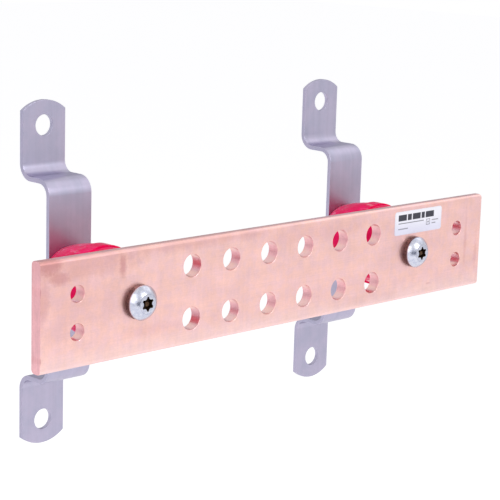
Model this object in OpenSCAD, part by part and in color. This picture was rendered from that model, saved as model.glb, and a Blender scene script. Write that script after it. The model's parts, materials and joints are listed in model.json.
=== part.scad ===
// Rack grounding busbar: a drilled copper bar on two moulded stand-off insulators,
// held clear of the wall by two folded hat brackets. Millimetres, +Z up, wall on the +Y side.
// The origin is the centre of the four wall holes, on the plane that the bracket feet rest on.

/* [Busbar] */
// Length of the copper bar
bar_length = 304.8; // [300:0.1:600]
// Height of the bar's face
bar_height = 50.8; // [48:0.1:76]
// Thickness of the bar
bar_thickness = 6.35; // [5:0.05:10]
// Radius of the bar's drawn long edges
bar_edge_radius = 2; // [0.5:0.1:2.4]
// Break on the rim of every hole in the bar
hole_break = 0.3; // [0.1:0.05:0.5]

/* [Lug holes] */
// Columns of lug holes between the two fixing screws
lug_columns = 6; // [2:1:6]
// Distance between neighbouring columns
lug_pitch = 25.4; // [20:0.1:27]
// Distance between the two rows
lug_row_spacing = 25.4; // [20:0.1:30]
// Diameter of a lug hole
lug_hole_d = 11.11; // [8:0.01:12]

/* [End holes] */
// Distance from the end of the bar to the pair of small holes
end_pair_inset = 20.64; // [15:0.01:22]
// Distance between the two holes of a pair
end_pair_spacing = 17.46; // [15:0.01:24]
// Diameter of an end hole
end_hole_d = 7.94; // [5:0.01:9]

/* [Fixings] */
// Distance from the end of the bar to the axis of its fixing screw
fixing_inset = 56.4; // [54:0.1:60]
// Diameter of the screw shank
screw_d = 9.52; // [8:0.01:9.8]
// Length of the screw under its head
screw_length = 19; // [16:0.5:20]
// Diameter of the button head
head_d = 16.4; // [15:0.1:17.4]
// Height of the head
head_height = 3.8; // [3.4:0.1:5]
// Height of the straight rim below the dome
head_rim = 0.5; // [0.2:0.1:1]
// Diameter of the flat land on top of the head
head_flat_d = 9.2; // [8.2:0.1:10]
// Size across the points of the six-lobe recess
recess_points = 6.75; // [5.6:0.05:7.2]
// Size across the waists of the six-lobe recess
recess_waist = 4.85; // [4.4:0.05:5.2]
// Depth of the recess
recess_depth = 2.8; // [2:0.1:3]
// Diameter of the pin in the middle of the recess
pin_d = 2.4; // [1.8:0.1:2.8]
// Distance from the top of the head down to the pin
pin_drop = 0.7; // [0.3:0.1:1.4]
// Outer diameter of the lock washer
washer_d = 16.4; // [15:0.1:17.4]
// Clearance between a screw and the lock washer round it
washer_clearance = 0.19; // [0.15:0.01:0.5]
// Thickness of the lock washer
washer_thickness = 2.4; // [1.6:0.1:3]
// Width of the split in the lock washer
washer_split = 1.3; // [0.8:0.1:2]
// Clearance round a screw in its hole, in the bar and in the brackets
fixing_clearance = 0.4; // [0.2:0.05:0.8]

/* [Insulators] */
// Length of an insulator between its two faces
insulator_length = 44.45; // [40:0.05:64]
// Diameter of the band round its middle
insulator_band_d = 44.45; // [43.8:0.05:50]
// Width of the band
insulator_band_width = 7; // [4:0.1:12]
// Radius on the edges of the band
insulator_band_radius = 0.35; // [0.1:0.05:0.5]
// Diameter that the barrel swells to at its middle
insulator_belly_d = 43.2; // [40:0.1:43.5]
// Diameter of the two end faces
insulator_end_d = 35.4; // [32:0.1:38]
// Break on the edges of the end faces
insulator_break = 0.8; // [0.3:0.1:1.5]
// Outer diameter of the threaded insert
insert_d = 15; // [13:0.1:18]
// Thickness of the closed end of the insert
insert_floor = 1.6; // [1:0.1:2]
// Diameter of the waist that locks the insert in the moulding
insert_waist_d = 13; // [12.4:0.1:14]
// Width of that waist
insert_waist_width = 3; // [1:0.1:5]
// Room between the tip of the screw that goes deepest and the bottom of the insert's hole
tip_room = 1.2; // [0.5:0.1:2]

/* [Brackets] */
// Width of the folded strip
bracket_width = 25.4; // [22:0.1:36]
// Thickness of the strip
sheet = 2.4; // [2:0.1:3.2]
// Distance from the wall to the back of the raised middle
bracket_rise = 20.64; // [20:0.01:34]
// Height from end to end
bracket_height = 170.4; // [168:0.1:190]
// Height of the raised middle over its two ledges
bracket_step_height = 100; // [90:0.5:112]
// Inside radius of the folds
bend_radius = 5.5; // [3:0.1:6.2]
// Distance from the end of a foot to the middle of its wall hole
wall_hole_inset = 12.175; // [10:0.005:14]
// Diameter of a wall hole
wall_hole_d = 10.32; // [8:0.01:12]
// Radius of the rounded end of a foot
foot_end_radius = 19.8; // [18.5:0.1:30]

/* [Label] */
// Width of the label
label_width = 38.1; // [20:0.1:42]
// Height of the label
label_height = 12.7; // [8:0.1:13]
// Thickness of the label
label_thickness = 0.12; // [0.1:0.01:0.3]
// Radius of the corners of the label
label_corner = 1.5; // [0.5:0.1:3]
// Distance from the right-hand fixing axis to the middle of the label, along the bar
label_shift = 2.8; // [0:0.1:4]
// Gap between the label and the lock washer below it
label_gap = 1.85; // [0.5:0.05:2.4]

/* [Hidden] */
$fn = 64;
// How far a cutting shape runs past the face it cuts
cut = 1;
// Clearance between an insert and the moulding round it
moulded_clearance = 0.05;
// Clearance between a screw and the thread that it is shown in
thread_clearance = 0.1;
// Chamfer on the tip of a screw
tip_chamfer = 1;
// Radius of the six flutes that stand into the recess
flute_radius = 1.45;
// Slant of the split in a lock washer, in degrees
split_slant = 25;
fixing_hole_d = screw_d + 2 * fixing_clearance;
washer_hole_d = screw_d + 2 * washer_clearance;
insert_hole_depth = screw_length - washer_thickness - sheet + tip_room;
insert_length = insert_hole_depth + insert_floor;
// Outer planes of the stack, from the wall towards the front
raised_back_y = -bracket_rise;
raised_front_y = raised_back_y - sheet;
bar_back_y = raised_front_y - insulator_length;
bar_front_y = bar_back_y - bar_thickness;
fixing_x = bar_length / 2 - fixing_inset;
end_pair_x = bar_length / 2 - end_pair_inset;
bend_outer = bend_radius + sheet;
ledge_z = bracket_step_height / 2;
foot_end_z = bracket_height / 2;

// Puts a shape drawn upwards from the floor so that it points out of the wall, at x and y
module towards_front(x, y) {
    translate([x, y, 0])
        rotate([90, 0, 0])
            children();
}

// Turns that shape round, so that it points into the wall
module towards_wall(x, y) {
    translate([x, y, 0])
        rotate([-90, 0, 0])
            children();
}

// Runs a section drawn in the Y-Z plane along X, centred on x
module along_bar(x, length) {
    translate([x - length / 2, 0, 0])
        rotate([90, 0, 90])
            linear_extrude(length)
                children();
}

module rounded_rect(width, height, radius) {
    square([width - 2 * radius, height], center = true);
    square([width, height - 2 * radius], center = true);
    for (x = [-1, 1], y = [-1, 1])
        translate([x * (width / 2 - radius), y * (height / 2 - radius)])
            circle(r = radius);
}

// A through hole in the bar with a broken rim on both faces
module bar_hole(diameter) {
    translate([0, 0, -cut])
        cylinder(d = diameter, h = bar_thickness + 2 * cut);
    for (side = [0, 1])
        translate([0, 0, side * bar_thickness])
            mirror([0, 0, side])
                translate([0, 0, -cut])
                    cylinder(d1 = diameter + 2 * (hole_break + cut), d2 = diameter, h = hole_break + cut);
}

// Drawn copper flat, drilled for the lugs, the end pairs and the two fixing screws
module busbar() {
    color([0.94, 0.74, 0.71])
        difference() {
            translate([0, bar_back_y - bar_thickness / 2, 0])
                along_bar(0, bar_length)
                    rounded_rect(bar_thickness, bar_height, bar_edge_radius);
            towards_front(0, bar_back_y) {
                for (column = [0 : lug_columns - 1], row = [-1, 1])
                    translate([(column - (lug_columns - 1) / 2) * lug_pitch, row * lug_row_spacing / 2, 0])
                        bar_hole(lug_hole_d);
                for (side = [-1, 1], row = [-1, 1])
                    translate([side * end_pair_x, row * end_pair_spacing / 2, 0])
                        bar_hole(end_hole_d);
                for (side = [-1, 1])
                    translate([side * fixing_x, 0, 0])
                        bar_hole(fixing_hole_d);
            }
        }
}

// Printed sticker on the face of the bar, above the right-hand screw
module label() {
    color([0.93, 0.92, 0.96])
        towards_front(fixing_x + label_shift, bar_front_y)
            translate([0, washer_d / 2 + label_gap + label_height / 2, 0])
                linear_extrude(label_thickness)
                    rounded_rect(label_width, label_height, label_corner);
}

// Outline of the six-lobe recess: a circle with six round flutes standing into it
module six_lobe() {
    difference() {
        circle(d = recess_points);
        for (lobe = [0 : 5])
            rotate(lobe * 60 + 30)
                translate([recess_waist / 2 + flute_radius, 0])
                    circle(r = flute_radius);
    }
}

// Button-head screw with a pinned six-lobe recess, its seat at height 0
module screw() {
    head_radius = head_d / 2;
    flat_radius = head_flat_d / 2;
    dome_height = head_height - head_rim;
    dome_centre = (flat_radius ^ 2 - head_radius ^ 2 + head_height ^ 2 - head_rim ^ 2) / (2 * dome_height);
    dome_radius = norm([flat_radius, head_height - dome_centre]);
    difference() {
        rotate_extrude()
            union() {
                intersection() {
                    translate([0, dome_centre])
                        circle(r = dome_radius, $fn = 128);
                    square([head_radius, head_height]);
                }
                polygon([[0, 0], [screw_d / 2, 0], [screw_d / 2, tip_chamfer - screw_length],
                    [screw_d / 2 - tip_chamfer, -screw_length], [0, -screw_length]]);
            }
        translate([0, 0, head_height - recess_depth])
            linear_extrude(recess_depth + cut)
                six_lobe();
    }
    translate([0, 0, head_height - recess_depth - cut / 2])
        cylinder(d = pin_d, h = recess_depth - pin_drop + cut / 2);
}

// Split ring that keeps its screw tight, from height 0 to its thickness
module lock_washer() {
    ring = (washer_d - washer_hole_d) / 2;
    difference() {
        rotate_extrude()
            translate([washer_hole_d / 2, 0])
                square([ring, washer_thickness]);
        rotate([0, 0, 35])
            translate([washer_hole_d / 2 + ring / 2, 0, washer_thickness / 2])
                rotate([split_slant, 0, 0])
                    cube([ring + 2 * cut, washer_split, 3 * washer_thickness], center = true);
    }
}

module front_screw(side) {
    color([0.80, 0.80, 0.84])
        towards_front(side * fixing_x, bar_front_y - washer_thickness)
            screw();
}

module back_screw(side) {
    color([0.80, 0.80, 0.84])
        towards_wall(side * fixing_x, raised_back_y + washer_thickness)
            screw();
}

module front_lock_washer(side) {
    color([0.62, 0.60, 0.62])
        towards_front(side * fixing_x, bar_front_y)
            lock_washer();
}

module back_lock_washer(side) {
    color([0.62, 0.60, 0.62])
        towards_wall(side * fixing_x, raised_back_y)
            lock_washer();
}

// Moulded polyester barrel with a band round its middle and a blind pocket for an insert
// in each face
module insulator(side) {
    half = insulator_length / 2;
    end_radius = insulator_end_d / 2;
    swell = (insulator_belly_d - insulator_end_d) / 2;
    swell_radius = (half ^ 2 + swell ^ 2) / (2 * swell);
    color([0.91, 0.10, 0.33])
        towards_front(side * fixing_x, raised_front_y - half)
            difference() {
                rotate_extrude($fn = 96) {
                    intersection() {
                        translate([insulator_belly_d / 2 - swell_radius, 0])
                            circle(r = swell_radius, $fn = 256);
                        polygon([[0, -half], [end_radius - insulator_break, -half],
                            [end_radius - insulator_break + half, 0],
                            [end_radius - insulator_break, half], [0, half]]);
                    }
                    intersection() {
                        rounded_rect(insulator_band_d, insulator_band_width, insulator_band_radius);
                        translate([0, -half])
                            square([insulator_band_d, insulator_length]);
                    }
                }
                for (end = [0, 1])
                    mirror([0, 0, end])
                        translate([0, 0, half - insert_length - moulded_clearance])
                            cylinder(d = insert_d + 2 * moulded_clearance, h = insert_length + cut);
            }
}

// Brass bush with a blind threaded hole, its mouth at height 0 and its body below
module insert() {
    hole_radius = screw_d / 2 + thread_clearance;
    waist_z = -insert_length / 2;
    color([0.78, 0.62, 0.32])
        rotate_extrude()
            difference() {
                translate([0, -insert_length])
                    square([insert_d / 2, insert_length]);
                translate([0, -insert_hole_depth])
                    square([hole_radius, insert_hole_depth + cut]);
                translate([insert_waist_d / 2, waist_z - insert_waist_width / 2])
                    square([insert_d, insert_waist_width]);
            }
}

module front_insert(side) {
    towards_front(side * fixing_x, bar_back_y)
        insert();
}

module back_insert(side) {
    towards_wall(side * fixing_x, raised_front_y)
        insert();
}

// Quarter fold about its inside corner, in the quadrant that along and up point to
module fold(corner, along, up) {
    translate(corner)
        intersection() {
            difference() {
                circle(r = bend_outer);
                circle(r = bend_radius);
            }
            translate([min(along, 0) * bend_outer, min(up, 0) * bend_outer])
                square(bend_outer);
        }
}

// Side view of the folded strip: two feet on the wall, two ledges and the raised middle
module hat_section() {
    inner_z = ledge_z - bend_outer;
    ledge_near = raised_back_y + bend_radius;
    ledge_far = -bend_outer;
    translate([raised_front_y, -inner_z])
        square([sheet, 2 * inner_z]);
    for (half = [0, 1])
        mirror([0, half]) {
            fold([ledge_near, inner_z], -1, 1);
            translate([ledge_near, ledge_z - sheet])
                square([ledge_far - ledge_near, sheet]);
            fold([ledge_far, ledge_z + bend_radius], 1, -1);
            translate([-sheet, ledge_z + bend_radius])
                square([sheet, foot_end_z - ledge_z - bend_radius]);
        }
}

// Front view of the strip, with the shallow arcs on its two ends
module strip_outline() {
    arc_z = foot_end_z - foot_end_radius;
    intersection() {
        square([bracket_width, 2 * foot_end_z], center = true);
        union() {
            square([2 * foot_end_radius, 2 * arc_z], center = true);
            for (end = [-1, 1])
                translate([0, end * arc_z])
                    circle(r = foot_end_radius, $fn = 128);
        }
    }
}

// Stainless strip folded to a hat, with a fixing hole and two wall holes
module bracket(side) {
    color([0.72, 0.70, 0.76])
        difference() {
            intersection() {
                along_bar(side * fixing_x, bracket_width)
                    hat_section();
                towards_front(side * fixing_x, cut)
                    linear_extrude(bracket_rise + sheet + 2 * cut)
                        strip_outline();
            }
            towards_front(side * fixing_x, cut) {
                cylinder(d = fixing_hole_d, h = bracket_rise + sheet + 2 * cut);
                for (end = [-1, 1])
                    translate([0, end * (foot_end_z - wall_hole_inset), 0])
                        cylinder(d = wall_hole_d, h = sheet + 2 * cut);
            }
        }
}

busbar();
label();
front_screw(-1);  // screw_front_left
front_screw(1);  // screw_front_right
front_lock_washer(-1);  // lock_washer_front_left
front_lock_washer(1);  // lock_washer_front_right
insulator(-1);  // insulator_left
insulator(1);  // insulator_right
front_insert(-1);  // insert_front_left
front_insert(1);  // insert_front_right
back_insert(-1);  // insert_back_left
back_insert(1);  // insert_back_right
bracket(-1);  // bracket_left
bracket(1);  // bracket_right
back_lock_washer(-1);  // lock_washer_back_left
back_lock_washer(1);  // lock_washer_back_right
back_screw(-1);  // screw_back_left
back_screw(1);  // screw_back_right
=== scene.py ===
import json
import math

import bmesh
import bpy
from mathutils import Matrix, Vector


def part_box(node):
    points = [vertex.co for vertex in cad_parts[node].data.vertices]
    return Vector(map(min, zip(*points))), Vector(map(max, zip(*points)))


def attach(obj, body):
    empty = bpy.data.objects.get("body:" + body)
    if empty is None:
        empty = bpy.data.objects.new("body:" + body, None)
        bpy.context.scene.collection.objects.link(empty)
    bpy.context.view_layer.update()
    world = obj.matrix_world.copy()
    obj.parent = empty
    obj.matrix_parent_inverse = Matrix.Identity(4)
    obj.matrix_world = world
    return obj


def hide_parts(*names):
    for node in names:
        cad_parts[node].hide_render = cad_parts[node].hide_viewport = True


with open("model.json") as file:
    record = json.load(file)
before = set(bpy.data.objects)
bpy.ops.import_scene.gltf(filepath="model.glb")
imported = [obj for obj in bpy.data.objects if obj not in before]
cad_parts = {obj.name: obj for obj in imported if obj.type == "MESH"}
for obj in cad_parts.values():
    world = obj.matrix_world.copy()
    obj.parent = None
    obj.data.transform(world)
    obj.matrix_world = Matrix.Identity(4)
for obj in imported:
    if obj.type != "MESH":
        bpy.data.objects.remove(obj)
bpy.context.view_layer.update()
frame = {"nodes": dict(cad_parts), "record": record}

bpy.context.scene.view_settings.view_transform = "Standard"

# The camera: a long lens held in front of the bar, to its left and a little above it,
# with the small roll of a hand-held view. It looks past the middle of the bar's face.
MM = 0.001
bar_low, bar_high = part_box("busbar")
bar_middle = (bar_low + bar_high) / 2
face_middle = Vector((bar_middle.x, bar_low.y, bar_middle.z))
azimuth = math.radians(44.498)
elevation = math.radians(11.574)
roll = math.radians(1.727)
camera_distance = 840.85 * MM
look_right_of_face = -18.35 * MM
look_above_face = 12.2 * MM

ahead = Vector((
    math.sin(azimuth) * math.cos(elevation),
    math.cos(azimuth) * math.cos(elevation),
    -math.sin(elevation)))
rightward = Matrix.Rotation(-roll, 3, ahead) @ Vector((math.cos(azimuth), -math.sin(azimuth), 0))
upward = rightward.cross(ahead)
camera_data = bpy.data.cameras.new("camera")
camera_data.sensor_width = 36
camera_data.lens = 122.3
camera = bpy.data.objects.new("camera", camera_data)
camera.location = (face_middle + look_right_of_face * rightward + look_above_face * upward
                   - camera_distance * ahead)
camera.rotation_euler = Matrix((rightward, upward, -ahead)).transposed().to_euler()
bpy.context.scene.collection.objects.link(camera)
bpy.context.scene.camera = camera

# The studio: white all round, soft lamps in front, on the left and overhead, and a pale
# floor well below the bar, which hangs free as if on a wall. Three grey cards that only
# reflections show give bright metal something darker at its edges.


class Wire:
    """One output of a shader node. Arithmetic on wires adds Math nodes."""

    def __init__(self, finish, socket):
        self.finish = finish
        self.socket = socket

    def __getitem__(self, output):
        return Wire(self.finish, self.socket.node.outputs[output])

    def math(self, operation, *terms):
        return self.finish.node("ShaderNodeMath", {"operation": operation},
                                dict(enumerate(terms)))

    def __add__(self, other):
        return self.math("ADD", self, other)

    def __radd__(self, other):
        return self.math("ADD", other, self)

    def __sub__(self, other):
        return self.math("SUBTRACT", self, other)

    def __rsub__(self, other):
        return self.math("SUBTRACT", other, self)

    def __mul__(self, other):
        return self.math("MULTIPLY", self, other)

    def __rmul__(self, other):
        return self.math("MULTIPLY", other, self)

    def __truediv__(self, other):
        return self.math("DIVIDE", self, other)

    def __rtruediv__(self, other):
        return self.math("DIVIDE", other, self)

    def __pow__(self, other):
        return self.math("POWER", self, other)

    def __abs__(self):
        return self.math("ABSOLUTE", self)

    def fade(self, start, end):
        """0 where this wire is at start, 1 at end, and a soft slope between."""
        settings = {"interpolation_type": "SMOOTHSTEP"}
        return self.finish.node("ShaderNodeMapRange", settings,
                                {"Value": self, "From Min": start, "From Max": end})


class Finish:
    """A node tree that is being wired up, of a material or of the world."""

    def __init__(self, owner):
        owner.use_nodes = True
        self.tree = owner.node_tree
        self.tree.nodes.clear()

    def node(self, kind, settings=None, sockets=None, output=0):
        """Adds a node: its settings first, then the value or wire of each socket."""
        node = self.tree.nodes.new(kind)
        for name, value in (settings or {}).items():
            setattr(node, name, value)
        for name, value in (sockets or {}).items():
            if isinstance(value, Wire):
                self.tree.links.new(value.socket, node.inputs[name])
            else:
                node.inputs[name].default_value = value
        return Wire(self, node.outputs[output]) if node.outputs else node

    def place(self, middle=(0, 0, 0), stretch=(1, 1, 1)):
        """Object coordinates in metres, counted from a point of the piece."""
        here = self.node("ShaderNodeTexCoord", output="Object")
        offset = [-m * s for m, s in zip(middle, stretch)]
        return self.node("ShaderNodeMapping", None,
                         {"Vector": here, "Location": offset, "Scale": stretch})

    def noise(self, where, cell, detail=2.0, roughness=0.5, distortion=0.0):
        """Soft noise from 0 to 1 with patches of about one cell, in metres."""
        return self.node("ShaderNodeTexNoise", None,
                         {"Vector": where, "Scale": 1 / cell, "Detail": detail,
                          "Roughness": roughness, "Distortion": distortion}, "Fac")

    def axes(self, where):
        """The three parts of a vector, told apart by output name."""
        return self.node("ShaderNodeSeparateXYZ", None, {0: where})

    def facing(self):
        """The direction that the surface faces, split along the axes of the part."""
        return self.axes(self.node("ShaderNodeTexCoord", output="Normal"))

    def bump(self, height, depth, under=None):
        """A normal tilted by a height map, whose full range is a depth in metres."""
        sockets = {"Height": height, "Distance": depth, "Strength": 1.0}
        if under:
            sockets["Normal"] = under
        return self.node("ShaderNodeBump", None, sockets)

    def mix(self, share, first, second, blend="MIX"):
        """Blends two colours by a share from 0 to 1. A wire of one value counts as a grey."""
        colours = [c if isinstance(c, Wire) else (*c, 1) for c in (first, second)]
        return self.node("ShaderNodeMix", {"data_type": "RGBA", "blend_type": blend},
                         {0: share, 6: colours[0], 7: colours[1]}, 2)


WHITE = (1, 1, 1, 1)
ambient_tint = (0.98, 0.98, 1.0, 1)
ambient_level = 0.66
lamp_reach = 1.1
paper_white = 0.93
floor_drop = 0.30
floor_half = 6

world = bpy.data.worlds.new("studio")
bpy.context.scene.world = world
sky = Finish(world)
ray = sky.node("ShaderNodeLightPath", output="Is Camera Ray")
seen = ray.math("MAXIMUM", ray, ray["Is Glossy Ray"])
seen = seen.math("MAXIMUM", seen, ray["Is Transmission Ray"])
ambient = sky.node("ShaderNodeBackground", None,
                   {"Color": ambient_tint, "Strength": ambient_level})
background = sky.node("ShaderNodeBackground", None, {"Color": WHITE, "Strength": 1.0})
sky.node("ShaderNodeOutputWorld", None,
         {"Surface": sky.node("ShaderNodeMixShader", None, {0: seen, 1: ambient, 2: background})})


def lamp(name, direction, size, power):
    """A square soft lamp at lamp_reach from the bar, which it faces."""
    data = bpy.data.lights.new(name, "AREA")
    data.shape = "SQUARE"
    data.size = size
    data.energy = power
    thing = bpy.data.objects.new(name, data)
    towards = Vector(direction).normalized()
    thing.location = bar_middle + lamp_reach * towards
    thing.rotation_euler = (-towards).to_track_quat("-Z", "Y").to_euler()
    bpy.context.scene.collection.objects.link(thing)


lamp("key_lamp", (0.16, -0.80, 0.56), 0.4, 3.0)
lamp("side_lamp", (-0.90, -0.45, 0.45), 0.9, 3.0)
lamp("top_lamp", (0.69, -0.10, 0.75), 0.7, 0.7)


def card(name, middle, width, height, grey):
    """A grey card that faces the bar and shows in reflections alone."""
    bm = bmesh.new()
    bmesh.ops.create_grid(bm, x_segments=1, y_segments=1, size=0.5)
    bmesh.ops.scale(bm, vec=(width, height, 1), verts=bm.verts)
    facing = (bar_middle - Vector(middle)).to_track_quat("Z", "Y").to_matrix().to_4x4()
    bmesh.ops.transform(bm, matrix=Matrix.Translation(middle) @ facing, verts=bm.verts)
    mesh = bpy.data.meshes.new(name)
    bm.to_mesh(mesh)
    bm.free()
    board = bpy.data.materials.new(name)
    tone = Finish(board)
    tone.node("ShaderNodeOutputMaterial", None, {
        "Surface": tone.node("ShaderNodeEmission", None, {"Color": (*grey, 1), "Strength": 1.0})})
    mesh.materials.append(board)
    thing = bpy.data.objects.new(name, mesh)
    thing.visible_camera = False
    thing.visible_diffuse = False
    thing.visible_shadow = False
    bpy.context.scene.collection.objects.link(thing)


card("back_card", (0.9, 1.3, 0.40), 3.0, 0.75, (0.40, 0.40, 0.46))
card("left_card", (-0.95, 0.95, -0.08), 1.5, 0.42, (0.68, 0.68, 0.74))
card("front_card", (-0.42, -1.25, -0.10), 0.85, 0.50, (0.16, 0.18, 0.25))

floor_mesh = bpy.data.meshes.new("floor")
floor_bm = bmesh.new()
bmesh.ops.create_grid(floor_bm, x_segments=1, y_segments=1, size=floor_half)
bmesh.ops.translate(floor_bm, vec=(0, 0, bar_low.z - floor_drop), verts=floor_bm.verts)
floor_bm.to_mesh(floor_mesh)
floor_bm.free()
floor = bpy.data.objects.new("floor", floor_mesh)
bpy.context.scene.collection.objects.link(floor)
floor_finish = bpy.data.materials.new("pale_floor")
paper = Finish(floor_finish)
ray = paper.node("ShaderNodeLightPath", output="Is Camera Ray")
seen = ray.math("MAXIMUM", ray, ray["Is Glossy Ray"])
sheet_paper = paper.node("ShaderNodeBsdfDiffuse", None, {"Color": (*[paper_white] * 3, 1)})
glow = paper.node("ShaderNodeEmission", None,
                  {"Color": WHITE, "Strength": 1 - paper_white * ambient_level})
lifted = paper.node("ShaderNodeAddShader", None, {0: sheet_paper, 1: glow})
upper_side = paper.node("ShaderNodeMixShader", None, {0: seen, 1: sheet_paper, 2: lifted})
underneath = paper.node("ShaderNodeNewGeometry", output="Backfacing")
clear = paper.node("ShaderNodeBsdfTransparent")
paper.node("ShaderNodeOutputMaterial", None,
           {"Surface": paper.node("ShaderNodeMixShader", None,
                                  {0: underneath, 1: upper_side, 2: clear})})
floor_mesh.materials.append(floor_finish)


# The busbar: one length of drawn copper flat with rounded long edges, sawn off square and
# drilled right through. The rims are broken by hand, and the bare metal has begun to
# tarnish in faint patches.
weld_distance = 0.001 * MM
crease = math.radians(35)
square_edge = math.radians(60)


def lathe(bm, profile, x, z, steps=64):
    """Spins a profile of (radius, y) points about the axis along Y through x and z."""
    chain = [bm.verts.new((x + radius, y, z)) for radius, y in profile]
    edges = [bm.edges.new(pair) for pair in zip(chain, chain[1:])]
    bmesh.ops.spin(bm, geom=chain + edges, cent=(x, 0, z), axis=(0, 1, 0),
                   angle=math.tau, steps=steps, use_merge=True, use_duplicate=False)


def arc(centre, radius, start, end, steps):
    """Points along an arc in a profile, from one angle in degrees to another."""
    angles = [math.radians(start + (end - start) * step / steps) for step in range(steps + 1)]
    return [(centre[0] + radius * math.cos(a), centre[1] + radius * math.sin(a)) for a in angles]


def drill(bm, x, z, radius, front, back, ease):
    """The wall of a hole through a plate, with both rims eased to a small round."""
    wide = radius + ease
    lathe(bm, arc((wide, front + ease), ease, 270, 180, 3)
          + arc((wide, back - ease), ease, 180, 90, 3), x, z)


def fill(bm, y):
    """Fills the open outlines that lie in one plane across Y, leaving the holes."""
    rims = [e for e in bm.edges if not e.is_manifold
            and all(abs(v.co.y - y) < weld_distance for v in e.verts)]
    bmesh.ops.triangle_fill(bm, edges=rims, use_beauty=True, use_dissolve=False)


def piece(name, bm, slot, material, *nodes):
    """Makes a finished mesh ride on the part in place of its plain solids."""
    bmesh.ops.remove_doubles(bm, verts=bm.verts, dist=weld_distance)
    bmesh.ops.recalc_face_normals(bm, faces=bm.faces)
    for edge in bm.edges:
        edge.smooth = edge.calc_face_angle(0) < crease
    for face in bm.faces:
        face.smooth = True
    mesh = bpy.data.meshes.new(name)
    bm.to_mesh(mesh)
    bm.free()
    mesh.materials.append(material)
    thing = bpy.data.objects.new(name, mesh)
    bpy.context.scene.collection.objects.link(thing)
    even = thing.modifiers.new("even_flats", "WEIGHTED_NORMAL")
    even.keep_sharp = True
    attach(thing, "root")
    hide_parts(*nodes)
    return thing


bar_edge = 2.0 * MM
hole_ease = 0.3 * MM
end_ease = 0.2 * MM
screw_hole = 5.16 * MM
bar_front, bar_back = bar_low.y, bar_high.y

bar = bmesh.new()
bmesh.ops.create_cube(bar, size=1)
bmesh.ops.scale(bar, vec=bar_high - bar_low, verts=bar.verts)
bmesh.ops.translate(bar, vec=bar_middle, verts=bar.verts)
long_edges = [e for e in bar.edges if e.calc_length() > 0.9 * (bar_high.x - bar_low.x)]
bmesh.ops.bevel(bar, geom=long_edges, offset=bar_edge, segments=6, profile=0.5,
                affect="EDGES", material=-1)
end_edges = [e for e in bar.edges if e.calc_face_angle(0) > square_edge]
bmesh.ops.bevel(bar, geom=end_edges, offset=end_ease, segments=2, profile=0.5,
                affect="EDGES", material=-1)
flats = [f for f in bar.faces if abs(f.normal.y) > 0.99 and f.calc_area() > 1e-3]
bmesh.ops.delete(bar, geom=flats, context="FACES_ONLY")
for mount in frame["record"]["mounts"]:
    x, y, z = mount["pos_m"]
    if abs(y - bar_front) < MM:
        reach = mount["dims"]["spacing_y_mm"] / 2 * MM
        for row in (-reach, reach):
            drill(bar, x, z + row, mount["dims"]["hole_r_mm"] * MM, bar_front, bar_back, hole_ease)
for node in ("screw_front_left", "screw_front_right"):
    screw_middle = sum(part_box(node), Vector()) / 2
    drill(bar, screw_middle.x, screw_middle.z, screw_hole, bar_front, bar_back, hole_ease)
fill(bar, bar_front)
fill(bar, bar_back)

tarnish_spots = (
    # middle along X and Z, reach along X and Z in mm, and depth of the stain
    (-147, 23, 9, 6, 0.95), (-142, 17, 8, 4, 0.75), (-106, 18.5, 2.6, 6, 0.8),
    (-118, 21, 3.5, 10, 0.4), (-128, 23, 34, 10, 0.45), (-151, 8, 5, 17, 0.5),
    (-152.4, 12, 0.7, 3.5, 1), (-152.4, -19, 0.7, 1.6, 0.9), (-60, 24, 60, 3.5, 0.3),
    (-135, 10, 30, 22, 0.2), (-141, -4, 18, 9, 0.16), (-120, 4, 10, 3, 0.18),
    (139.7, 1, 1.2, 16, 0.3), (149, -6, 1.6, 12, 0.3), (109.6, -19.1, 2.4, 0.5, 0.4),
    (-88, -14, 22, 3, 0.16), (20, 19, 40, 5, 0.16), (60, -20, 30, 3, 0.14))

copper = bpy.data.materials.new("drawn_copper")
metal = Finish(copper)
clouds = metal.noise(metal.place(stretch=(0.7, 1, 1)), 9 * MM, 3, 0.6)
hue = metal.noise(metal.place((0.3, 0, 0)), 5 * MM, 2, 0.6)
grain = metal.noise(metal.place(), 1.1 * MM, 3, 0.65)
drawn = metal.noise(metal.place(stretch=(0.012, 1, 1)), 0.35 * MM, 2)
wiped = metal.noise(metal.place(stretch=(1, 1, 0.07)), 2.0 * MM, 2)
tarnish = 0.0
for x, z, wide, high, depth in tarnish_spots:
    off = metal.place((x * MM, 0, z * MM), (1 / (wide * MM), 0, 1 / (high * MM)))
    reach = metal.node("ShaderNodeVectorMath", {"operation": "LENGTH"}, {0: off}, "Value")
    spot = (reach + 1.1 * (clouds - 0.5) + 0.5 * (grain - 0.5)).fade(1.35, 0.25) * depth
    tarnish = spot.math("MAXIMUM", spot, tarnish)
level = metal.axes(metal.place())["Z"]
pale_foot = level.fade(-14 * MM, -24 * MM) * 0.32
sawn = abs(metal.facing()["X"]).fade(0.75, 0.95)
saw_marks = metal.noise(metal.place(stretch=(1, 1, 0.04)), 0.45 * MM, 3, 0.6)
tint = metal.mix(hue.fade(0.36, 0.64), (0.91, 0.575, 0.522), (0.875, 0.566, 0.565))
tint = metal.mix(pale_foot, tint, (0.90, 0.72, 0.71))
tint = metal.mix(sawn, tint, (0.96, 0.55, 0.58))
shade = 0.60 + 0.16 * drawn + 0.11 * wiped + 0.15 * grain + 0.24 * clouds
shade = shade - sawn * 0.30 * (saw_marks - 0.35)
tint = metal.mix(1.0, tint, shade, "MULTIPLY")
tint = metal.mix(tarnish * (0.75 - 0.6 * sawn), tint, (0.50, 0.205, 0.205))
relief = metal.bump(drawn + grain * 0.5, 0.006 * MM)
relief = metal.bump(saw_marks * sawn, 0.05 * MM, relief)
surface = metal.node("ShaderNodeBsdfPrincipled", None, {
    "Base Color": tint, "Metallic": 1.0, "Normal": relief,
    "Roughness": 0.28 + 0.12 * clouds + 0.12 * tarnish + 0.10 * sawn})
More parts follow.
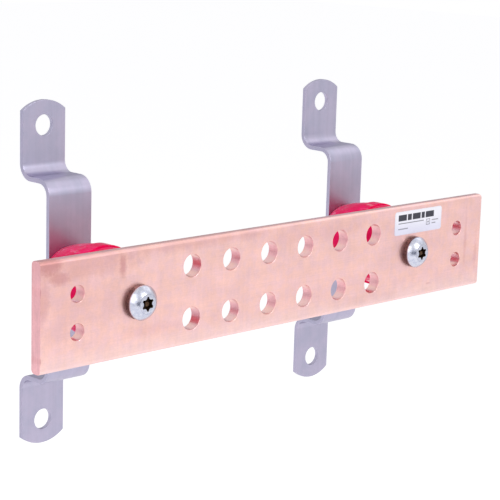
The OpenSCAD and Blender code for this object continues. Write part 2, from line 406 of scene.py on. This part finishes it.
metal.node("ShaderNodeOutputMaterial", None, {"Surface": surface})
piece("copper_bar", bar, "copper", copper, "busbar")


# The label: a small printed vinyl sticker with rounded corners, rubbed down flat on the
# face of the bar above its right-hand screw. Its print is plain rules and bars.
label_corner = 1.5 * MM
label_low, label_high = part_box("label")

label = bmesh.new()
bmesh.ops.create_cube(label, size=1)
bmesh.ops.scale(label, vec=label_high - label_low, verts=label.verts)
bmesh.ops.translate(label, vec=(label_low + label_high) / 2, verts=label.verts)
corners = [e for e in label.edges if abs(e.verts[0].co.y - e.verts[1].co.y) > 0.01 * MM]
bmesh.ops.bevel(label, geom=corners, offset=label_corner, segments=6, profile=0.5,
                affect="EDGES", material=-1)

print_softness = 0.07
print_bars = (
    # left, right, bottom and top in mm from the middle of the label, and strength of the ink
    (-16.2, -9.6, 1.2, 4.5, 1), (-8.8, -5.6, 1.2, 4.5, 1), (-4.8, 1.6, 1.2, 4.5, 1),
    (2.4, 5.0, 1.2, 4.5, 1), (5.8, 12.6, 1.2, 4.5, 1), (-16.2, 4.4, -0.4, 0.1, 0.7),
    (-16.2, -8.4, -3.4, -2.8, 0.6), (6.4, 9.6, -2.9, -2.5, 0.7), (6.4, 9.6, -0.1, 0.3, 0.7),
    (6.4, 6.8, -2.9, 0.3, 0.7), (9.2, 9.6, -2.9, 0.3, 0.7), (7.5, 8.5, -1.8, -0.8, 0.7),
    (11.0, 16.4, -0.9, -0.3, 0.6), (11.0, 14.2, -2.6, -2.0, 0.6))

vinyl = bpy.data.materials.new("printed_vinyl")
film = Finish(vinyl)
spot = film.axes(film.place((label_low + label_high) / 2, [1 / MM] * 3))
ink = 0.0
for left, right, bottom, top, strength in print_bars:
    bar_mask = (spot["X"].fade(left - print_softness, left + print_softness)
                * spot["X"].fade(right + print_softness, right - print_softness)
                * spot["Z"].fade(bottom - print_softness, bottom + print_softness)
                * spot["Z"].fade(top + print_softness, top - print_softness))
    ink = bar_mask.math("MAXIMUM", bar_mask * strength, ink)
fibre = film.noise(film.place(), 0.5 * MM, 3, 0.6)
smudge = film.noise(film.place(), 6 * MM, 2)
sheet_tint = film.mix((spot["Z"] + 4 * (smudge - 0.5)).fade(3, -5), (0.93, 0.92, 0.99),
                      (0.80, 0.79, 0.93))
sheet_tint = film.mix(fibre * 0.10, sheet_tint, (0.62, 0.60, 0.72))
worn_edge = abs(spot["X"]).fade(17.9, 19.05)
worn_edge = worn_edge.math("MAXIMUM", worn_edge, abs(spot["Z"]).fade(5.5, 6.35))
sheet_tint = film.mix(worn_edge * 0.22, sheet_tint, (0.60, 0.52, 0.60))
surface = film.node("ShaderNodeBsdfPrincipled", None, {
    "Base Color": film.mix(ink * (0.93 + 0.12 * fibre), sheet_tint, (0.012, 0.012, 0.03)),
    "Roughness": 0.34 + 0.16 * smudge, "Normal": film.bump(fibre, 0.012 * MM)})
film.node("ShaderNodeOutputMaterial", None, {"Surface": surface})
piece("printed_label", label, "label_stock", vinyl, "label")


# The screws: four button heads with a domed, bright-plated top and a six-lobe recess that
# has a pin left standing in it. Two hold the bar and two hold the brackets, each driven
# into an insulator through a split lock washer.
head_rim = 0.5 * MM
head_flat = 4.6 * MM
recess_depth = 2.8 * MM
recess_lip = 0.15 * MM
lobe_tip = 3.375 * MM
lobe_waist = 2.425 * MM
flute = 1.45 * MM
pin_radius = 1.2 * MM
pin_drop = 0.7 * MM
pin_ease = 0.15 * MM
tip_chamfer = 1.0 * MM
shank = 4.76 * MM
seat_ease = 0.1 * MM


def lobed_ring(bm, x, y, z, grow):
    """A closed outline of the six-lobe recess across Y, grown outwards by a little."""
    upright = Matrix.Translation((x, y, z)) @ Matrix.Rotation(math.radians(90), 4, "X")
    made = bmesh.ops.create_circle(bm, segments=96, radius=lobe_tip, matrix=upright)
    for vert in made["verts"]:
        out = vert.co - Vector((x, y, z))
        angle = math.atan2(out.z, out.x)
        off = (angle + math.radians(30)) % math.radians(60) - math.radians(30)
        inside = flute ** 2 - ((lobe_waist + flute) * math.sin(off)) ** 2
        reach = lobe_tip
        if inside > 0:
            reach = min(reach, (lobe_waist + flute) * math.cos(off) - math.sqrt(inside))
        vert.co = Vector((x, y, z)) + out.normalized() * (reach + grow)
    return list({e for v in made["verts"] for e in v.link_edges})


def screw(name, node, seat, outwards):
    """One screw about its node's axis, with its head standing out of a seat across Y."""
    low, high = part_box(node)
    x, z = (low.x + high.x) / 2, (low.z + high.z) / 2
    top, tip = (low.y, high.y) if outwards < 0 else (high.y, low.y)
    head = (high.x - low.x) / 2
    height = abs(top - seat)
    dome = (head_flat ** 2 - head ** 2 + height ** 2 - head_rim ** 2) / (2 * (height - head_rim))
    radius = math.hypot(head_flat, height - dome)
    start = math.degrees(math.asin((height - dome) / radius))
    end = math.degrees(math.asin((head_rim - dome) / radius))
    curve = [(r, seat + outwards * h) for r, h in arc((0, dome), radius, start, end, 16)]
    bm = bmesh.new()
    lathe(bm, curve + [
        (head, seat + outwards * seat_ease), (head - seat_ease, seat), (shank, seat),
        (shank, tip + outwards * tip_chamfer), (shank - tip_chamfer, tip), (0, tip)], x, z)
    lip = lobed_ring(bm, x, top, z, recess_lip)
    throat = lobed_ring(bm, x, top - outwards * recess_lip, z, 0)
    floor_rim = lobed_ring(bm, x, top - outwards * recess_depth, z, 0)
    bmesh.ops.bridge_loops(bm, edges=lip + throat)
    bmesh.ops.bridge_loops(bm, edges=throat + floor_rim)
    pin_top = top - outwards * pin_drop
    pin_foot = top - outwards * recess_depth
    lathe(bm, [(0, pin_top), (pin_radius - pin_ease, pin_top),
               (pin_radius, pin_top - outwards * pin_ease), (pin_radius, pin_foot)], x, z, 32)
    fill(bm, top)
    fill(bm, pin_foot)
    # The recess attribute marks where the finish paints shade into the recess and roughens it.
    sunk = bm.verts.layers.float.new("recess")
    for vert in bm.verts:
        near_axis = math.hypot(vert.co.x - x, vert.co.z - z) < lobe_tip + recess_lip / 2
        under_top = outwards * (top - vert.co.y) > recess_lip / 2
        vert[sunk] = float(near_axis and under_top and outwards * (vert.co.y - seat) > 0)
    return piece(name, bm, "plated_steel", zinc, node)


fixing_x = sum(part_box("screw_front_right"), Vector()).x / 2


def off_axis(finish):
    """The distance from the axis of the nearest screw."""
    spot = finish.axes(finish.place())
    return ((abs(spot["X"]) - fixing_x) ** 2 + spot["Z"] ** 2) ** 0.5


def turned(finish, cell):
    """Fine rings about that axis, as a lathe or a die leaves them."""
    depth = finish.axes(finish.place())["Y"]
    where = finish.node("ShaderNodeCombineXYZ", None, {0: off_axis(finish), 1: depth})
    return finish.noise(where, cell, 1)


zinc = bpy.data.materials.new("bright_zinc")
plate = Finish(zinc)
recess = plate.node("ShaderNodeAttribute", {"attribute_name": "recess"}, None, "Fac")
rings = turned(plate, 0.35 * MM)
bloom = plate.noise(plate.place(), 1.4 * MM, 3, 0.6)
pits = plate.noise(plate.place(), 0.3 * MM, 2)
plating_and_painted_shade = plate.mix(bloom.fade(0.35, 0.65), (0.60, 0.61, 0.69), (0.48, 0.50, 0.61))
out = off_axis(plate)
# Painted shade: a darker ring where the flat top of the head meets the dome.
land_edge_painted_shade = (out.fade(head_flat - 0.15 * MM, head_flat)
             * out.fade(head_flat + 0.25 * MM, head_flat + 0.1 * MM))
plating_and_painted_shade = plate.mix(land_edge_painted_shade * 0.5, plating_and_painted_shade, (0.30, 0.30, 0.38))
# Painted shade: the recess and the top of its pin are coloured a dark brown, standing in for the
# shade inside the recess.
plating_and_painted_shade = plate.mix(recess, plating_and_painted_shade, plate.mix(pits.fade(0.4, 0.7), (0.05, 0.025, 0.015),
                                         (0.16, 0.10, 0.06)))
surface = plate.node("ShaderNodeBsdfPrincipled", None, {
    "Base Color": plating_and_painted_shade, "Metallic": 1.0, "Roughness": 0.17 + 0.16 * bloom + 0.3 * recess,
    "Normal": plate.bump(rings + pits, 0.008 * MM)})
plate.node("ShaderNodeOutputMaterial", None, {"Surface": surface})

front_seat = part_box("lock_washer_front_left")[0].y
back_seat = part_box("lock_washer_back_left")[1].y
screw("bar_screw_left", "screw_front_left", front_seat, -1)
screw("bar_screw_right", "screw_front_right", front_seat, -1)
screw("bracket_screw_left", "screw_back_left", back_seat, 1)
screw("bracket_screw_right", "screw_back_right", back_seat, 1)


# The lock washers: short lengths of square spring wire coiled to a ring, cut on a slant
# and squeezed flat under each screw head.
washer_bore = 4.95 * MM
washer_ease = 0.25 * MM
split_width = 11
split_slant = 8
split_turn = 35


def lock_washer(name, node):
    """One washer, which fills its node's box."""
    low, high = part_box(node)
    middle = (low + high) / 2
    x, z = middle.x, middle.z
    outer = (high.x - low.x) / 2
    section = []
    for corner, start in (((outer - washer_ease, high.y - washer_ease), 90),
                          ((outer - washer_ease, low.y + washer_ease), 0),
                          ((washer_bore + washer_ease, low.y + washer_ease), -90),
                          ((washer_bore + washer_ease, high.y - washer_ease), -180)):
        section += arc(corner, washer_ease, start, start - 90, 3)
    bm = bmesh.new()
    ring = [bm.verts.new((x + radius, y, z)) for radius, y in section]
    edges = [bm.edges.new(pair) for pair in zip(ring, ring[1:] + ring[:1])]
    swept = bmesh.ops.spin(bm, geom=ring + edges, cent=(x, 0, z), axis=(0, 1, 0),
                           angle=math.radians(360 - split_width), steps=90, use_duplicate=False)
    for end in (edges, [g for g in swept["geom_last"] if isinstance(g, bmesh.types.BMEdge)]):
        bmesh.ops.contextual_create(bm, geom=end)
    for vert in bm.verts:
        slant = split_slant * (vert.co.y - middle.y) / (high.y - low.y) + split_turn
        turn = Matrix.Rotation(math.radians(slant), 3, "Y")
        vert.co = turn @ (vert.co - Vector((x, 0, z))) + Vector((x, 0, z))
    return piece(name, bm, "spring_steel", spring, node)


spring = bpy.data.materials.new("spring_steel")
wire = Finish(spring)
rings = turned(wire, 0.3 * MM)
scale = wire.noise(wire.place(), 0.9 * MM, 3, 0.6)
# Painted reflection and painted shade: the washer's dark red-brown colour stands in for the copper
# reflected in its side, in the shade under the screw head.
surface = wire.node("ShaderNodeBsdfPrincipled", None, {
    "Base Color": wire.mix(scale.fade(0.38, 0.66), (0.17, 0.10, 0.10), (0.09, 0.055, 0.055)),
    "Metallic": 1.0, "Roughness": 0.28 + 0.2 * scale,
    "Normal": wire.bump(rings + scale * 0.5, 0.012 * MM)})
wire.node("ShaderNodeOutputMaterial", None, {"Surface": surface})
for node in ("lock_washer_front_left", "lock_washer_front_right",
             "lock_washer_back_left", "lock_washer_back_right"):
    lock_washer("split_" + node.replace("lock_", ""), node)


# The insulators: two barrels of red polyester, moulded hot and glossy round a brass insert
# in each end, with a raised band round the middle where the mould halves meet.
insulator_end = 17.7 * MM
insulator_belly = 21.6 * MM
insulator_round = 0.8 * MM
band_half_width = 3.5 * MM
band_round = 0.35 * MM
pocket_gap = 0.05 * MM


def insulator(name, node, front_insert, back_insert):
    """One barrel, which fills its node's box and leaves a pocket for each insert."""
    low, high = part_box(node)
    x, y, z = (low + high) / 2
    half = (high.y - low.y) / 2
    band = (high.x - low.x) / 2
    swell = insulator_belly - insulator_end
    bow = (half ** 2 + swell ** 2) / (2 * swell)
    hub = insulator_belly - bow
    pocket = (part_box(front_insert)[1].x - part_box(front_insert)[0].x) / 2 + pocket_gap
    front_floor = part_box(front_insert)[1].y + pocket_gap
    back_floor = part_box(back_insert)[0].y - pocket_gap
    band_start = math.degrees(math.asin(band_half_width / bow))
    round_start = math.degrees(math.asin((half - insulator_round) / bow))
    shoulder = hub + math.sqrt(bow ** 2 - (half - insulator_round) ** 2)
    front_half = (
        arc((shoulder - insulator_round, y - half + insulator_round), insulator_round, -90, -10, 4)
        + arc((hub, y), bow, -round_start, -band_start, 20)
        + arc((band - band_round, y - band_half_width + band_round), band_round, -90, 0, 3))
    back_half = [(radius, 2 * y - across) for radius, across in reversed(front_half)]
    bm = bmesh.new()
    lathe(bm, [(0, front_floor), (pocket, front_floor), (pocket, low.y)] + front_half
          + back_half + [(pocket, high.y), (pocket, back_floor), (0, back_floor)], x, z, 128)
    return piece(name, bm, "red_polyester", polyester, node)


polyester = bpy.data.materials.new("red_polyester")
moulded = Finish(polyester)
flow = moulded.noise(moulded.place(stretch=(1, 0.5, 1)), 7 * MM, 3, 0.6, 1.2)
fibres = moulded.noise(moulded.place(stretch=(0.3, 1, 1)), 0.35 * MM, 2, 0.5, 0.8)
peel = moulded.noise(moulded.place(), 0.9 * MM, 2)
sink = moulded.noise(moulded.place(), 6 * MM, 1)
gloss = moulded.noise(moulded.place(stretch=(1, 0.4, 1)), 4 * MM, 3, 0.7, 1.0).fade(0.55, 0.63)
resin = moulded.mix(flow.fade(0.3, 0.7), (0.95, 0.008, 0.135), (0.80, 0.004, 0.085))
resin = moulded.mix(fibres.fade(0.62, 0.80) * 0.22, resin, (0.90, 0.16, 0.26))
surface = moulded.node("ShaderNodeBsdfPrincipled", None, {
    "Base Color": resin, "Roughness": 0.12 + 0.10 * peel, "Specular IOR Level": 0.04,
    "Coat Weight": 0.9 * gloss, "Coat Roughness": 0.04,
    "Normal": moulded.bump(peel, 0.008 * MM, moulded.bump(sink, 0.22 * MM))})
moulded.node("ShaderNodeOutputMaterial", None, {"Surface": surface})
insulator("insulator_barrel_left", "insulator_left", "insert_front_left", "insert_back_left")
insulator("insulator_barrel_right", "insulator_right", "insert_front_right", "insert_back_right")


# The inserts: turned brass bushes moulded into the insulators, two in each, flush with
# their end faces. The solids have their whole shape and only take a finish.
brass = bpy.data.materials.new("turned_brass")
bush = Finish(brass)
rings = turned(bush, 0.25 * MM)
stain = bush.noise(bush.place(), 3 * MM, 3, 0.6)
surface = bush.node("ShaderNodeBsdfPrincipled", None, {
    "Base Color": bush.mix(stain.fade(0.35, 0.7), (0.78, 0.55, 0.22), (0.62, 0.40, 0.16)),
    "Metallic": 1.0, "Roughness": 0.24 + 0.14 * stain,
    "Normal": bush.bump(rings, 0.01 * MM)})
bush.node("ShaderNodeOutputMaterial", None, {"Surface": surface})
for node, thing in frame["nodes"].items():
    if node.startswith("insert_"):
        thing.data.materials.clear()
        thing.data.materials.append(brass)


# The brackets: two lengths of stainless strip, blanked with round ends and three holes and
# then folded to a hat over a press brake, four right angles in each.
sheet = 2.4 * MM
bend = 5.5 * MM
bend_steps = 10
step_half = 50.0 * MM
wall_hole_z = 73.025 * MM
bracket_hole = 5.16 * MM
end_radius = 19.8 * MM
strip_ease = 0.3 * MM
fold_reach = 0.01 * MM


def bracket(name, node):
    """One bracket: a flat blank at the depth of its middle, folded from its ends inwards."""
    low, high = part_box(node)
    x = (low.x + high.x) / 2
    half_width = (high.x - low.x) / 2
    front, back = low.y, low.y + sheet
    rise = high.y - back
    chord = 2 * bend * math.sin(math.radians(90 / bend_steps / 2))
    first_fold = step_half - sheet - bend
    ledge = rise - sheet - 2 * bend
    second_fold = first_fold + bend_steps * chord + ledge
    foot_start = second_fold + bend_steps * chord
    foot_shift = foot_start - (step_half + bend)
    crown = high.z + foot_shift - end_radius
    sweep = 2 * math.asin(half_width / end_radius)
    corner = crown + end_radius * math.cos(sweep / 2)

    bm = bmesh.new()
    sides = {}
    for side in (1, -1):
        start = bm.verts.new((x + half_width, front, side * corner))
        swept = bmesh.ops.spin(bm, geom=[start], cent=(x, front, side * crown),
                               axis=(0, 1, 0), angle=-side * sweep, steps=24)
        end = next(g for g in swept["geom_last"] if isinstance(g, bmesh.types.BMVert))
        sides[side] = (start, end)
    bm.edges.new((sides[1][0], sides[-1][0]))
    bm.edges.new((sides[1][1], sides[-1][1]))
    grown = bmesh.ops.extrude_edge_only(bm, edges=bm.edges[:])["geom"]
    bmesh.ops.translate(bm, vec=(0, sheet, 0),
                        verts=[g for g in grown if isinstance(g, bmesh.types.BMVert)])
    for z in (-wall_hole_z - foot_shift, 0, wall_hole_z + foot_shift):
        drill(bm, x, z, bracket_hole, front, back, strip_ease / 2)
    fill(bm, front)
    fill(bm, back)
    bmesh.ops.remove_doubles(bm, verts=bm.verts, dist=weld_distance)
    bmesh.ops.recalc_face_normals(bm, faces=bm.faces)
    rims = [e for e in bm.edges if e.calc_face_angle(0) > square_edge]
    bmesh.ops.bevel(bm, geom=rims, offset=strip_ease, segments=2, profile=0.5,
                    affect="EDGES", material=-1)
    for side in (1, -1):
        for start in (second_fold, first_fold):
            for step in range(bend_steps + 1):
                bmesh.ops.bisect_plane(bm, geom=bm.verts[:] + bm.edges[:] + bm.faces[:],
                                       plane_co=(0, 0, side * (start + step * chord)),
                                       plane_no=(0, 0, 1), dist=0.0001 * MM)
    flat_place = bm.verts.layers.float_vector.new("blank")
    for vert in bm.verts:
        vert[flat_place] = vert.co
    for side in (1, -1):
        for start, hinge, way in ((second_fold, front, 1), (first_fold, back, -1)):
            for step in reversed(range(bend_steps + 1)):
                at = start + step * chord
                share = 0.5 if step in (0, bend_steps) else 1
                turn = side * way * share * math.radians(90 / bend_steps)
                beyond = [v for v in bm.verts if side * v.co.z > at + fold_reach]
                on = [v for v in bm.verts if abs(side * v.co.z - at) <= fold_reach]
                for verts, angle in ((beyond, turn), (on, turn / 2)):
                    bmesh.ops.rotate(bm, verts=verts, cent=(0, hinge, side * at),
                                     matrix=Matrix.Rotation(angle, 3, "X"))
    return piece(name, bm, "stainless", stainless, node)


stainless = bpy.data.materials.new("rolled_stainless")
rolled = Finish(stainless)
blank = rolled.node("ShaderNodeAttribute", {"attribute_name": "blank"}, None, "Vector")
along = rolled.node("ShaderNodeMapping", None, {"Vector": blank, "Scale": (1, 1, 0.012)})
brushed = rolled.noise(along, 0.22 * MM, 2)
bands = rolled.noise(along, 2.2 * MM, 2)
handled = rolled.noise(blank, 11 * MM, 3, 0.6)
grain = rolled.noise(blank, 0.8 * MM, 3, 0.6)
sheared = abs(rolled.facing()["X"]).fade(0.7, 0.95)
tint = rolled.mix(handled.fade(0.35, 0.65), (0.450, 0.415, 0.540), (0.410, 0.395, 0.515))
shade = 0.84 + 0.12 * brushed + 0.14 * bands + 0.06 * grain + 0.10 * sheared
tint = rolled.mix(1.0, tint, shade, "MULTIPLY")
surface = rolled.node("ShaderNodeBsdfPrincipled", None, {
    "Base Color": tint, "Metallic": 1.0,
    "Roughness": 0.30 + 0.10 * handled + 0.06 * brushed + 0.1 * sheared,
    "Normal": rolled.bump(brushed * 0.6 + grain * 0.4, 0.006 * MM)})
rolled.node("ShaderNodeOutputMaterial", None, {"Surface": surface})
bracket("hat_bracket_left", "bracket_left")
bracket("hat_bracket_right", "bracket_right")
